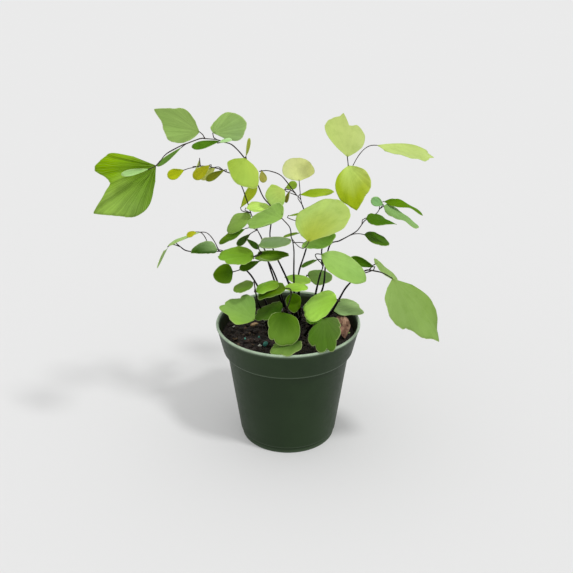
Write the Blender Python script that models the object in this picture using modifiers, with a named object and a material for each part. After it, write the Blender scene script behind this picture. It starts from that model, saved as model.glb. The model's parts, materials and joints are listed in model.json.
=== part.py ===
"""Potted maidenhair fern: a nursery pot, its soil, and the fronds that rise from it.

Tables and named sizes are in millimetres and degrees; Blender's scene is in metres.
The origin is on the pot's axis at the ground, +Z is up and the front is -Y.
Every frond is one wiry stem, with a thin side stalk to each of its leaflets. A leaflet is a
flat fan: its ribs spread from the stalk's end, and their lengths draw its outline.
"""
import math
from collections import namedtuple

import bmesh
import bpy
from mathutils import Matrix, Vector

MM = 0.001
GAP = 0.3                    # clearance between pieces that touch
WELD = 0.005                 # points closer than this are one

# Pot, turned about Z
LIP_R = 52.5                 # outer radius of the rolled lip
LIP_TOP = 91.8
COLLAR_TOP_R, COLLAR_TOP = 51.9, 89.8
COLLAR_FOOT_R, COLLAR_FOOT = 47.5, 70.4
BODY_TOP_R = 45.0
BODY_FOOT_R, BODY_FOOT = 36.1, 4.7
FOOT_R = 34.8
WALL = 1.3
FOOT_RING = 1.6              # width of the ring that the pot stands on
FLOOR_LOW, FLOOR_TOP = 4.5, 6.2
FLOOR_ROUND = 1.5            # rounding where the floor meets the wall, inside
EDGE = 0.5                   # small rounding on the pot's outer corners
LIP_IN = 2.1                 # from the lip's outside to its inner edge
HUB_R = 8.0                  # flat centre of the underside, level with the foot ring
POT_SIDES = 40
DRAIN_HOLES, DRAIN_R, DRAIN_CIRCLE = 8, 2.5, 21.0

# Soil
SOIL_EDGE, SOIL_MOUND = 82.0, 2.0
SOIL_RINGS = (8, 16, 24, 32, 40)
SOIL_SIDES = 32
SOIL_CLEAR = WALL + GAP + 0.1    # from the pot's outside to the soil

# Fronds
STEM_R, TIP_R = 0.55, 0.35   # stem radius at the soil and at its tip
STALK_R = 0.3                # side stalk radius
STEM_STEP = 10.0             # length of one stem segment
STALK_STEP = 5.0             # and of one stalk segment
BLADE = 0.35                 # leaflet thickness
SEAT = 0.55                  # from a stalk's end to the leaflet that it carries
PLAIN_RIBS = 12              # leaflets with more ribs than this need no margin points between them
SAG, CUP = 0.12, 0.06        # how far a blade usually bends down, along and across its midline

GREEN, LIME, PALE, DARK = (0.16, 0.36, 0.06), (0.38, 0.62, 0.10), (0.30, 0.46, 0.16), (0.06, 0.15, 0.02)

# A leaflet's base is its stalk's end. Its midline points to `heading` (0 is +X, 90 is +Y), `climb`
# degrees up, and the blade rolls about it. The ribs are evenly spread over `spread` degrees,
# from the left margin to the right one, seen from above.
Leaflet = namedtuple("Leaflet", "base heading climb roll spread ribs colour sag cup", defaults=(SAG, CUP))
# A frond starts on the soil at `foot` and follows `route`. The small leaflets near its growing
# tips, `young`, are one piece with the stem.
Frond = namedtuple("Frond", "name foot route leaflets young")


def narrow(length):
    """Ribs of a leaflet that is twice as long as wide."""
    return tuple(length * part for part in (0.55, 0.75, 1.0, 0.75, 0.5))


def tailed(length):
    """Ribs of a leaflet that is widest near its base and ends in a thin tail."""
    return tuple(length * part for part in (0.3, 0.45, 1.0, 0.45, 0.3))


def rounded(length):
    """Ribs of a nearly round leaflet."""
    return tuple(length * part for part in (0.5, 0.75, 0.93, 1.0, 0.93, 0.75, 0.5))


FRONDS = [
    Frond(
        "arch_left", (8, 11),
        [(0, 10, 118), (-9, 12, 138), (-13, 12, 154), (-11, 10, 174), (-17, 8, 183), (-24, -2, 204),
         (-29, -8, 216), (-37, -15, 227), (-46, -19, 231), (-56, -24, 233), (-66, -31, 231),
         (-75, -40, 228), (-81, -45, 222)],
        [Leaflet((-81, -45, 222), -175, -35, -70, 110,
                 (8, 14, 21, 28, 32, 35, 37, 39, 41, 44, 48, 53, 42, 36, 32, 33, 36, 41, 40, 37, 34, 31, 23),
                 GREEN, 0.1, 0.3),
         Leaflet((-56, -20, 236), -175, 25, -45, 140,
                 (7, 11, 16, 20, 22, 22, 23, 24, 27, 32, 26, 22, 20, 17, 11, 6, 5), PALE, 0.12, 0.12),
         Leaflet((-48, -20, 235), 30, 40, 40, 150, (5, 5, 7, 10, 16, 19, 21, 22, 20, 18, 14), PALE),
         Leaflet((-28, -14, 218), -95, -35, -30, 130, (10, 15, 21, 21, 21, 20, 17, 15, 12), LIME)],
        [Leaflet((-67, -29, 229), -150, -30, -65, 20, narrow(20), DARK),
         Leaflet((-44, -26, 231), 5, 15, 25, 60, narrow(9), PALE),
         Leaflet((-43, -18, 230), -175, -10, -75, 45, tailed(18), GREEN),
         Leaflet((-28, -6, 216), 60, 65, 60, 40, narrow(13), LIME),
         Leaflet((-85, -50, 221), -175, -10, -75, 40, tailed(18), PALE)]),
    Frond(
        "sprig_left", (0, 14),
        [(-10, 12, 118), (-14, 13, 131), (-19, 15, 150), (-24, 18, 161), (-28, 21, 172), (-33, 22, 187),
         (-38, 21, 195), (-48, 20, 200), (-58, 20, 202), (-66, 22, 201)],
        [Leaflet((-30, 14, 173), 15, 5, 20, 110, (7, 11, 14, 17, 14, 9, 6), LIME),
         Leaflet((-26, 14, 165), 150, -5, -30, 150, (10, 13, 18, 20, 18, 17, 15, 11, 8, 5, 4), PALE),
         Leaflet((-30, 14, 158), -170, -25, -10, 70, (8, 12, 15, 21, 21, 15, 10), GREEN)],
        [Leaflet((-73, 24, 198), -170, -20, -75, 60, narrow(13), LIME),
         Leaflet((-62, 24, 206), -160, -55, -70, 50, narrow(10), PALE),
         Leaflet((-54, 16, 204), -160, -35, -70, 40, narrow(15), LIME),
         Leaflet((-51, 24, 200), -170, -35, -75, 50, narrow(14), LIME),
         Leaflet((-44, 14, 201), -165, -25, -70, 35, narrow(15), DARK),
         Leaflet((-34, 24, 170), 30, 50, 55, 25, narrow(20), LIME),
         Leaflet((-27, 14, 154), -155, -35, -60, 45, narrow(13), DARK),
         Leaflet((-30, 12, 151), -15, -35, 60, 35, narrow(12), DARK)]),
    Frond(
        "middle", (2, 5),
        [(-8, 4, 122), (-12, 3, 133), (-16, -2, 144), (-20, -9, 151), (-21, -18, 158)],
        [Leaflet((-21, -18, 158), -5, 5, 10, 120, (6, 9, 15, 22, 21, 17, 14, 10, 8), PALE),
         Leaflet((-24, -12, 146), 5, 0, 5, 110, (7, 9, 18, 25, 21, 18, 16, 12, 9), GREEN),
         Leaflet((-23, -14, 148), 180, 0, -15, 160, (5, 8, 12, 17, 21, 26, 21, 15, 7), GREEN),
         Leaflet((-5, -8, 121), 5, 10, 0, 90, (8, 11, 15, 18, 18, 15, 12), LIME)],
        [Leaflet((-20, 2, 138), -170, -20, -65, 50, narrow(16), DARK)]),
    Frond(
        "centre", (5, 0),
        [(4, 2, 128), (4, 0, 147), (2, -7, 160), (1, -13, 169), (-4, -18, 177)],
        [Leaflet((-4, -18, 177), 130, 0, -30, 130, (13, 23, 25, 29, 22, 18, 17, 17, 15, 11, 6), PALE),
         Leaflet((13, -36, 167), 70, 30, -10, 120, (6, 14, 26, 35, 40, 44, 45, 43, 40, 37, 33, 27, 20),
                 LIME, 0.15, 0.12),
         Leaflet((10, -6, 155), -45, 5, 20, 120, (14, 23, 22, 20, 16, 13, 10, 8, 7), GREEN)],
        []),
    Frond(
        "back", (9, 17),
        [(8, 16, 106), (8, 16, 124), (12, 18, 137), (15, 20, 148), (14, 21, 158), (9, 24, 176),
         (3, 26, 183), (-5, 30, 192), (-14, 32, 195), (-20, 34, 194)],
        [Leaflet((8, 38, 185), 95, 35, -5, 140, (8, 14, 19, 23, 24, 22, 18, 15, 12), LIME),
         Leaflet((-2, 20, 185), -145, -20, -60, 120, (8, 12, 14, 16, 15, 15, 13, 11, 10), LIME),
         Leaflet((8, 20, 181), 0, 10, 15, 80, (7, 13, 20, 24, 18, 12, 8), LIME)],
        [Leaflet((-2, 32, 182), 25, 15, 65, 55, narrow(10), GREEN),
         Leaflet((1, 22, 183), -150, -65, -15, 80, narrow(9), DARK),
         Leaflet((-19, 32, 195), -65, -60, 25, 70, narrow(9), LIME),
         Leaflet((0, 18, 166), -25, 20, 15, 80, narrow(10), LIME),
         Leaflet((9, 16, 154), -175, -10, -15, 80, narrow(11), DARK)]),
    Frond(
        "right_high", (15, 6),
        [(22, 5, 122), (25, 5, 133), (24, 8, 145), (30, 12, 154), (35, 16, 167), (39, 18, 178),
         (43, 18, 189), (42, 18, 200), (41, 20, 208)],
        [Leaflet((41, 20, 208), 90, 45, 20, 110,
                 (14, 18, 23, 27, 29, 31, 32, 33, 34, 38, 27, 28, 30, 29, 27, 25, 21, 16, 11), LIME),
         Leaflet((62, 34, 213), 0, -10, 10, 80, (14, 32, 43, 44, 46, 41, 38, 35, 31, 27, 23, 17, 11), LIME),
         Leaflet((41, 10, 206), -70, -65, 45, 150,
                 (10, 14, 18, 21, 23, 24, 27, 31, 27, 25, 21, 17, 12, 8, 6), LIME),
         Leaflet((22, -12, 149), 5, -15, 35, 150, (4, 5, 6, 8, 13, 24, 35, 34, 22, 16, 8), GREEN)],
        [Leaflet((21, 0, 140), -170, -20, -15, 70, narrow(12), DARK)]),
    Frond(
        "right_mid", (18, 11),
        [(26, 9, 118), (27, 11, 131), (30, 15, 145), (37, 18, 147), (50, 23, 153), (56, 26, 160),
         (64, 31, 163), (69, 37, 167)],
        [Leaflet((69, 37, 167), -5, -25, 15, 130, (9, 11, 14, 19, 30, 29, 27, 20, 13, 10, 8), PALE),
         Leaflet((70, 43, 168), -10, 5, 20, 80, (7, 9, 13, 20, 28, 17, 11, 8, 6), DARK, 0.5),
         Leaflet((55, 21, 163), 0, -5, 10, 140, (7, 10, 14, 15, 21, 14, 11, 9, 7), DARK),
         Leaflet((55, 28, 148), 5, -20, 15, 120, (7, 10, 16, 21, 21, 17, 14, 11, 8), DARK)],
        [Leaflet((69, 33, 169), 175, 25, -75, 80, narrow(10), PALE)]),
    Frond(
        "right_low", (23, 2),
        [(33, 2, 100), (41, 1, 117), (49, -4, 129), (54, -8, 135), (63, -20, 139), (69, -34, 141)],
        [Leaflet((69, -34, 141), -50, -40, -5, 120,
                 (24, 32, 37, 41, 45, 48, 53, 48, 45, 42, 37, 35, 36, 34, 30, 26, 23, 19, 14),
                 GREEN, 0.2, 0.15),
         Leaflet((61, -10, 141), 40, -25, 40, 120, (5, 6, 7, 8, 11, 15, 17, 12, 6), GREEN),
         Leaflet((32, 6, 97), 15, 0, 15, 110, (15, 19, 22, 23, 22, 24, 14, 10, 8), PALE)],
        [Leaflet((61, -2, 135), 180, 20, -70, 40, narrow(19), DARK)]),
    Frond(
        "left_low", (-8, -1),
        [(-18, 0, 111), (-27, 3, 127), (-35, 9, 134), (-40, 13, 137), (-48, 17, 139), (-60, 20, 137),
         (-75, 24, 137), (-82, 26, 142)],
        [Leaflet((-50, 11, 143), -165, 5, -10, 150, (8, 11, 12, 15, 19, 16, 12, 9, 7), DARK),
         Leaflet((-63, 25, 151), 180, -15, 10, 60, (14, 19, 24, 26, 24, 19, 14), PALE),
         Leaflet((-39, 6, 128), 180, -10, -55, 150, (8, 10, 13, 15, 12, 9, 6), DARK)],
        [Leaflet((-88, 27, 139), -150, -55, 0, 50, narrow(15), PALE),
         Leaflet((-66, 20, 153), -170, -15, -20, 90, narrow(8), LIME)]),
    Frond(
        "front_left", (-13, -7),
        [(-18, -5, 99), (-22, -9, 113), (-24, -8, 126)],
        [Leaflet((-24, -8, 126), -165, -15, 0, 150, (8, 11, 14, 15, 14, 9, 6), GREEN),
         Leaflet((-23, -12, 120), 15, 20, 0, 150, (6, 11, 16, 18, 17, 15, 10, 8, 6), GREEN),
         Leaflet((-23, -24, 104), 155, 20, -35, 130,
                 (8, 13, 15, 17, 19, 26, 26, 24, 21, 20, 19, 17, 11), GREEN)],
        []),
    Frond(
        "front", (-3, -11),
        [(-3, -14, 100), (-4, -22, 112), (-4, -30, 114)],
        [Leaflet((-4, -30, 114), -95, -50, -15, 160, (9, 13, 19, 22, 21, 19, 14, 10, 7), GREEN),
         Leaflet((-3, -17, 110), 160, -15, -30, 130, (7, 9, 14, 22, 23, 14, 11, 9, 7), GREEN),
         Leaflet((-1, -16, 125), 175, -15, -5, 140, (7, 10, 15, 20, 21, 19, 16, 13, 10), GREEN),
         Leaflet((6, -36, 95), -110, 0, 5, 160, (4, 5, 8, 12, 16, 17, 19, 16, 13), PALE),
         Leaflet((9, -8, 106), -175, 35, -50, 150, (6, 8, 10, 12, 12, 10, 7), DARK)],
        []),
    Frond(
        "front_right", (12, -9),
        [(20, -12, 100), (29, -17, 113), (35, -24, 119)],
        [Leaflet((34, -26, 121), 160, -25, -20, 140, (9, 17, 22, 24, 26, 28, 31, 31, 26, 16, 9), LIME),
         Leaflet((25, -33, 111), -75, -35, 30, 150, (8, 10, 13, 16, 21, 22, 20, 17, 13), GREEN)],
        [Leaflet((25, -16, 101), -170, 5, -35, 140, rounded(13), GREEN)]),
    Frond(
        "back_low", (3, 26),
        [(8, 28, 102), (12, 28, 110), (14, 28, 115)],
        [Leaflet((14, 28, 115), 5, 5, 20, 150, (4, 6, 9, 13, 18, 18, 15, 13, 10), PALE),
         Leaflet((2, 12, 120), -5, 0, 5, 70, (5, 9, 14, 17, 16, 13, 10), GREEN)],
        []),
]

# A dead leaflet that has curled up on the soil, and a chip of wood from the potting mix
DEAD_LEAFLET = Leaflet((41, -12, 83), 110, 15, 10, 80, (9, 14, 19, 21, 20, 15, 9),
                       (0.28, 0.16, 0.08), -0.3, -0.9)
CHIP_AT, CHIP_SIZE, CHIP_TURN = (-25, 8), (6.0, 3.0, 1.4), 35


def material(name, colour, roughness):
    """A plain Principled material."""
    result = bpy.data.materials.new(name)
    result.use_nodes = True
    shader = result.node_tree.nodes["Principled BSDF"]
    shader.inputs["Base Color"].default_value = (*colour, 1.0)
    shader.inputs["Roughness"].default_value = roughness
    shader.inputs["Metallic"].default_value = 0.0
    return result


def add_object(name, data, collection, colour=None, roughness=0.5):
    """Link a new object, with its own material where it has a colour."""
    result = bpy.data.objects.new(name, data)
    collection.objects.link(result)
    if colour is not None:
        result.data.materials.append(material(name, colour, roughness))
    return result


def evaluated_mesh(source, weld):
    """The mesh that an object's modifiers or bevel give, with loose caps welded."""
    bpy.context.view_layer.update()
    depsgraph = bpy.context.evaluated_depsgraph_get()
    mesh = bpy.data.meshes.new_from_object(source.evaluated_get(depsgraph))
    cage = bmesh.new()
    cage.from_mesh(mesh)
    bmesh.ops.remove_doubles(cage, verts=cage.verts, dist=weld)
    cage.to_mesh(mesh)
    cage.free()
    return mesh


def fused(name, meshes):
    """One closed mesh in metres: the union of millimetre meshes that run into each other."""
    scratch = [bpy.data.objects.new(name, mesh) for mesh in meshes]
    for item in scratch:
        bpy.context.scene.collection.objects.link(item)
    for other in scratch[1:]:
        union = scratch[0].modifiers.new(other.name, "BOOLEAN")
        union.operation = "UNION"
        union.solver = "EXACT"
        union.object = other
    result = evaluated_mesh(scratch[0], WELD)
    for item in scratch:
        bpy.data.objects.remove(item)
    result.transform(Matrix.Scale(MM, 4))
    return result


def turned(name, profile, sides):
    """The closed mesh of a profile, in millimetres, turned about Z."""
    mesh = bpy.data.meshes.new(name)
    points = [(radius * MM, 0, height * MM) for radius, height in profile]
    mesh.from_pydata(points, [(i, i + 1) for i in range(len(points) - 1)], [])
    item = bpy.data.objects.new(name, mesh)
    bpy.context.scene.collection.objects.link(item)
    screw = item.modifiers.new("turn", "SCREW")
    screw.steps = screw.render_steps = sides
    screw.use_merge_vertices = True
    screw.merge_threshold = 0.01 * MM
    result = evaluated_mesh(item, WELD * MM)
    bpy.data.objects.remove(item)
    return result


def between(low, high, part):
    return low + (high - low) * part


def collar_r(height):
    """Outer radius of the collar at a height."""
    return between(COLLAR_FOOT_R, COLLAR_TOP_R, (height - COLLAR_FOOT) / (COLLAR_TOP - COLLAR_FOOT))


def body_r(height):
    """Outer radius of the body, under the collar, at a height."""
    return between(BODY_FOOT_R, BODY_TOP_R, (height - BODY_FOOT) / (COLLAR_FOOT - BODY_FOOT))


def soil_top(x, y):
    """Height of the soil: a low mound with shallow hollows."""
    radius = math.hypot(x, y)
    mound = SOIL_MOUND * (1 - (radius / collar_r(SOIL_EDGE)) ** 2)
    hollows = 0.5 * math.sin(0.16 * x + 1.0) * math.cos(0.13 * y)
    return SOIL_EDGE + mound + hollows


def build_pot(collection, cutters):
    ledge = COLLAR_FOOT + WALL
    inside = [
        (0, FLOOR_TOP),
        (body_r(FLOOR_TOP) - WALL - FLOOR_ROUND, FLOOR_TOP),
        (body_r(FLOOR_TOP + FLOOR_ROUND) - WALL, FLOOR_TOP + FLOOR_ROUND),
        (body_r(ledge) - WALL, ledge - EDGE),
        (BODY_TOP_R - WALL + EDGE, ledge),
        (collar_r(ledge) - WALL, ledge + EDGE),
        (collar_r(COLLAR_TOP) - WALL, COLLAR_TOP),
    ]
    lip = [
        (LIP_R - LIP_IN, LIP_TOP - 1.1),
        (LIP_R - 1.7, LIP_TOP - 0.3),
        (LIP_R - 1.0, LIP_TOP),
        (LIP_R - 0.3, LIP_TOP - 0.3),
        (LIP_R, LIP_TOP - 0.9),
        (LIP_R - 0.1, LIP_TOP - 1.6),
    ]
    outside = [
        (COLLAR_TOP_R, COLLAR_TOP),
        (collar_r(COLLAR_FOOT + EDGE), COLLAR_FOOT + EDGE),
        (COLLAR_FOOT_R - EDGE, COLLAR_FOOT),
        (BODY_TOP_R, COLLAR_FOOT),
        (body_r(BODY_FOOT + EDGE), BODY_FOOT + EDGE),
        (BODY_FOOT_R - EDGE, BODY_FOOT),
        (FOOT_R, BODY_FOOT - EDGE),
    ]
    underside = [
        (FOOT_R, 0),
        (FOOT_R - FOOT_RING, 0),
        (FOOT_R - FOOT_RING - EDGE, FLOOR_LOW),
        (HUB_R + EDGE, FLOOR_LOW),
        (HUB_R, 0),
        (0, 0),
    ]
    profile = inside + lip + outside + underside
    pot = add_object("pot", turned("pot", profile, POT_SIDES), collection, (0.03, 0.06, 0.025), 0.4)
    for index in range(DRAIN_HOLES):
        angle = math.tau * (index + 0.5) / DRAIN_HOLES
        drill = bmesh.new()
        bmesh.ops.create_cone(drill, cap_ends=True, segments=12, radius1=DRAIN_R * MM,
                              radius2=DRAIN_R * MM, depth=2 * FLOOR_TOP * MM)
        mesh = bpy.data.meshes.new("drain_drill")
        drill.to_mesh(mesh)
        drill.free()
        cutter = add_object(f"drain_drill_{index + 1}", mesh, cutters)
        cutter.location = Vector((math.cos(angle), math.sin(angle), 0)) * DRAIN_CIRCLE * MM
        cutter.location.z = FLOOR_TOP * MM
        cutter.hide_render = True
        cutter.display_type = "WIRE"
        hole = pot.modifiers.new(f"drain_{index + 1}", "BOOLEAN")
        hole.operation = "DIFFERENCE"
        hole.solver = "EXACT"
        hole.object = cutter
    pot.data.shade_smooth()
    pot.data.set_sharp_from_angle(angle=math.radians(35))


def build_soil(collection):
    ledge = COLLAR_FOOT + WALL
    foot = FLOOR_TOP + FLOOR_ROUND + GAP
    profile = [(0, SOIL_EDGE)]
    profile += [(radius, SOIL_EDGE) for radius in SOIL_RINGS]
    profile += [
        (collar_r(SOIL_EDGE) - SOIL_CLEAR, SOIL_EDGE),
        (collar_r(ledge) - SOIL_CLEAR, ledge + 1),
        (BODY_TOP_R - SOIL_CLEAR, ledge + GAP),
        (body_r(foot) - SOIL_CLEAR, foot),
        (body_r(FLOOR_TOP) - SOIL_CLEAR - FLOOR_ROUND, FLOOR_TOP + GAP),
        (0, FLOOR_TOP + GAP),
    ]
    mesh = turned("soil", profile, SOIL_SIDES)
    for vertex in mesh.vertices:
        if vertex.co.z > (SOIL_EDGE - 0.1) * MM:
            vertex.co.z = soil_top(vertex.co.x / MM, vertex.co.y / MM) * MM
    add_object("soil", mesh, collection, (0.02, 0.015, 0.012), 0.95)


def smooth_curve(points, step):
    """Points about `step` apart on a Catmull-Rom curve through the given points."""
    points = [Vector(point) for point in points]
    ends = [2 * points[0] - points[1], *points, 2 * points[-1] - points[-2]]
    result = [points[0]]
    for before, start, end, after in zip(ends, ends[1:], ends[2:], ends[3:]):
        count = max(1, round((end - start).length / step))
        for index in range(1, count + 1):
            t = index / count
            result.append(0.5 * (2 * start + (end - before) * t
                                 + (2 * before - 5 * start + 4 * end - after) * t ** 2
                                 + (3 * start - before - 3 * end + after) * t ** 3))
    return result


def tube(name, points, radii):
    """The closed mesh, in millimetres, of a round wire through the points."""
    curve = bpy.data.curves.new(name, "CURVE")
    curve.dimensions = "3D"
    curve.bevel_depth = 1
    curve.bevel_resolution = 2
    curve.use_fill_caps = True
    spline = curve.splines.new("POLY")
    spline.points.add(len(points) - 1)
    for target, point, radius in zip(spline.points, points, radii):
        target.co = (*point, 1)
        target.radius = radius
    item = bpy.data.objects.new(name, curve)
    bpy.context.scene.collection.objects.link(item)
    result = evaluated_mesh(item, WELD)
    bpy.data.objects.remove(item)
    return result


def leaflet_frame(leaflet):
    """Turns the blade's own axes, Y along its midline and Z up, into the plant's."""
    return (Matrix.Rotation(math.radians(leaflet.heading - 90), 3, "Z")
            @ Matrix.Rotation(math.radians(leaflet.climb), 3, "X")
            @ Matrix.Rotation(math.radians(leaflet.roll), 3, "Y"))


def margin(ribs):
    """Rib lengths with rounded steps between them, from the left margin to the right."""
    if len(ribs) > PLAIN_RIBS:
        return list(ribs)
    return [point.x for point in smooth_curve([(rib, 10 * i, 0) for i, rib in enumerate(ribs)], 5)]


def blade(name, leaflet, seat):
    """The closed mesh, in millimetres, of one leaflet: a grid bent into a fan, then thickened."""
    frame = leaflet_frame(leaflet)
    midline = frame @ Vector((0, 1, 0))
    apex = Vector(leaflet.base) + midline * seat
    reach = margin(leaflet.ribs)
    longest = max(leaflet.ribs)
    rings = 1 if longest <= 16 else 2 if longest <= 30 else 3
    cage = bmesh.new()
    bmesh.ops.create_grid(cage, x_segments=len(reach) - 1, y_segments=rings, size=0.5)
    for vertex in cage.verts:
        column = round((vertex.co.x + 0.5) * (len(reach) - 1))
        angle = math.radians(leaflet.spread * vertex.co.x)
        out = reach[column] * (vertex.co.y + 0.5)
        x, y = out * math.sin(angle), out * math.cos(angle)
        z = -(leaflet.sag * y * y + leaflet.cup * x * x) / longest
        vertex.co = apex + frame @ Vector((x, y, z))
    bmesh.ops.remove_doubles(cage, verts=cage.verts, dist=2 * WELD)
    mesh = bpy.data.meshes.new(name)
    cage.to_mesh(mesh)
    cage.free()
    item = bpy.data.objects.new(name, mesh)
    bpy.context.scene.collection.objects.link(item)
    thick = item.modifiers.new("thickness", "SOLIDIFY")
    thick.thickness = BLADE
    thick.offset = 0
    result = evaluated_mesh(item, WELD)
    bpy.data.objects.remove(item)
    return result


def walk_back(stem, index, distance):
    """The point on the stem that lies a distance towards the soil from one of its points."""
    while index > 0:
        step = stem[index - 1] - stem[index]
        if step.length >= distance:
            return stem[index] + step.normalized() * distance
        distance -= step.length
        index -= 1
    return stem[0]


def stalk(name, stem, leaflet):
    """A side stalk that leaves the stem below its leaflet and meets the blade along its midline."""
    base = Vector(leaflet.base)
    nearest = min(range(len(stem)), key=lambda i: (stem[i] - base).length)
    start = walk_back(stem, nearest, min(0.7 * (stem[nearest] - base).length, 12))
    midline = leaflet_frame(leaflet) @ Vector((0, 1, 0))
    bend = base - midline * 0.35 * (base - start).length
    points = []
    count = max(2, round((base - start).length / STALK_STEP))
    for index in range(count + 1):
        t = index / count
        points.append(start * (1 - t) ** 2 + bend * 2 * t * (1 - t) + base * t ** 2)
    return tube(name, points, [STALK_R] * len(points))


def build_frond(frond, collection):
    name = f"stem_{frond.name}"
    foot = Vector((*frond.foot, soil_top(*frond.foot) + GAP + 0.1))
    stem = smooth_curve([foot, *frond.route], STEM_STEP)
    radii = [between(STEM_R, TIP_R, i / (len(stem) - 1)) for i in range(len(stem))]
    pieces = [tube(name, stem, radii)]
    tip = stem[-1]
    for leaflet in frond.leaflets + frond.young:
        if (Vector(leaflet.base) - tip).length > 0.5:
            pieces.append(stalk(name, stem, leaflet))
    pieces += [blade(name, leaflet, -0.4) for leaflet in frond.young]
    stem_object = add_object(name, fused(name, pieces), collection, (0.02, 0.012, 0.01), 0.35)
    stem_object.data.shade_smooth()
    for index, leaflet in enumerate(frond.leaflets):
        leaf_name = f"leaf_{frond.name}_{index + 1}"
        mesh = blade(leaf_name, leaflet, SEAT)
        mesh.transform(Matrix.Scale(MM, 4))
        mesh.shade_smooth()
        add_object(leaf_name, mesh, collection, leaflet.colour, 0.5)


def build_litter(collection):
    mesh = blade("dead_leaflet", DEAD_LEAFLET, 0)
    mesh.transform(Matrix.Scale(MM, 4))
    add_object("dead_leaflet", mesh, collection, DEAD_LEAFLET.colour, 0.85)
    chip = bmesh.new()
    bmesh.ops.create_cube(chip, size=1)
    length, width, height = CHIP_SIZE
    bmesh.ops.scale(chip, verts=chip.verts, vec=Vector(CHIP_SIZE) * MM)
    bmesh.ops.rotate(chip, verts=chip.verts, matrix=Matrix.Rotation(math.radians(CHIP_TURN), 3, "Z"))
    x, y = CHIP_AT
    rest = max(soil_top(x + dx, y + dy) for dx in (-3, 0, 3) for dy in (-3, 0, 3))
    centre = Vector((x, y, rest + GAP + height / 2)) * MM
    bmesh.ops.translate(chip, verts=chip.verts, vec=centre)
    mesh = bpy.data.meshes.new("wood_chip")
    chip.to_mesh(mesh)
    chip.free()
    item = add_object("wood_chip", mesh, collection, (0.45, 0.30, 0.16), 0.8)
    edge = item.modifiers.new("edge", "BEVEL")
    edge.width = 0.35 * MM
    edge.segments = 1


def main():
    for item in list(bpy.data.objects):
        bpy.data.objects.remove(item)
    plant = bpy.data.collections.new("potted_fern")
    cutters = bpy.data.collections.new("cutters")
    bpy.context.scene.collection.children.link(plant)
    bpy.context.scene.collection.children.link(cutters)
    build_pot(plant, cutters)
    build_soil(plant)
    for frond in FRONDS:
        build_frond(frond, plant)
    build_litter(plant)


main()
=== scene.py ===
"""Looks of the potted maidenhair fern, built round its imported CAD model.

Each leaflet is rebuilt on its CAD sheet as a fine fan with pleats, waves and a thin edge.
Each frond's stem is redrawn as smooth wires along the centre lines of its CAD solid.
The pot and the soil are rebuilt on the same sizes with rounded, crumbly detail.
"""

import json
import random
from collections import Counter
from math import cos, exp, pi, radians, sin, sqrt, tau

import bmesh
import bpy
import numpy as np
from mathutils import Matrix, Vector, noise
from mathutils.bvhtree import BVHTree
from numpy.linalg import norm


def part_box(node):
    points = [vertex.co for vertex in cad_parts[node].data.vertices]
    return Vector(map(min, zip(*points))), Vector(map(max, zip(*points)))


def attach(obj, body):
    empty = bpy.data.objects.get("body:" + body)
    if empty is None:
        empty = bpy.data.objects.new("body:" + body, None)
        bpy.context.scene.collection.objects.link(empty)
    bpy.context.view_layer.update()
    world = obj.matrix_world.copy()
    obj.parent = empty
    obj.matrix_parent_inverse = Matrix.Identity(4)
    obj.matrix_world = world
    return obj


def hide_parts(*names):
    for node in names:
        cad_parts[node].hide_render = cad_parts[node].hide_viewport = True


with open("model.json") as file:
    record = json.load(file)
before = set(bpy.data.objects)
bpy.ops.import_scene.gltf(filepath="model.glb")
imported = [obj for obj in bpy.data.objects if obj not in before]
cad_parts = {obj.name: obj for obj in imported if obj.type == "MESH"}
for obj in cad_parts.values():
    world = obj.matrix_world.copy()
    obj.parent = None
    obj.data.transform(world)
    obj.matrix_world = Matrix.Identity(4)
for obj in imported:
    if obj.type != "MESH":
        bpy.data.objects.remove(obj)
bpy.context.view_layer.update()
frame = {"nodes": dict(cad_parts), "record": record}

MM = 0.001
WELD = 0.002 * MM            # CAD points nearer than this are one
BLADE = 0.26 * MM            # thickness of a leaflet
MARGIN_STEP = 0.55 * MM      # spacing of a leaflet's points along its margin
OUTWARD_STEP = 2.0 * MM      # and from its base outwards
RING_SIDE = 0.5 * MM         # edges shorter than this lie in one ring of a CAD tube
TUBE_SIDES = 8               # points in one ring of a CAD tube
SHARP = 1.0                  # an outline turns sharply where its slope jumps by more than this
CORNER = 0.035               # share of a leaflet's spread over which each end of its margin is rounded


# ------ colours and materials

def srgb(red, green, blue):
    """A colour given as 0..255 screen values, as linear RGBA."""
    parts = [value / 255 for value in (red, green, blue)]
    return tuple(p / 12.92 if p <= 0.04045 else ((p + 0.055) / 1.055) ** 2.4 for p in parts) + (1.0,)


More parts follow.
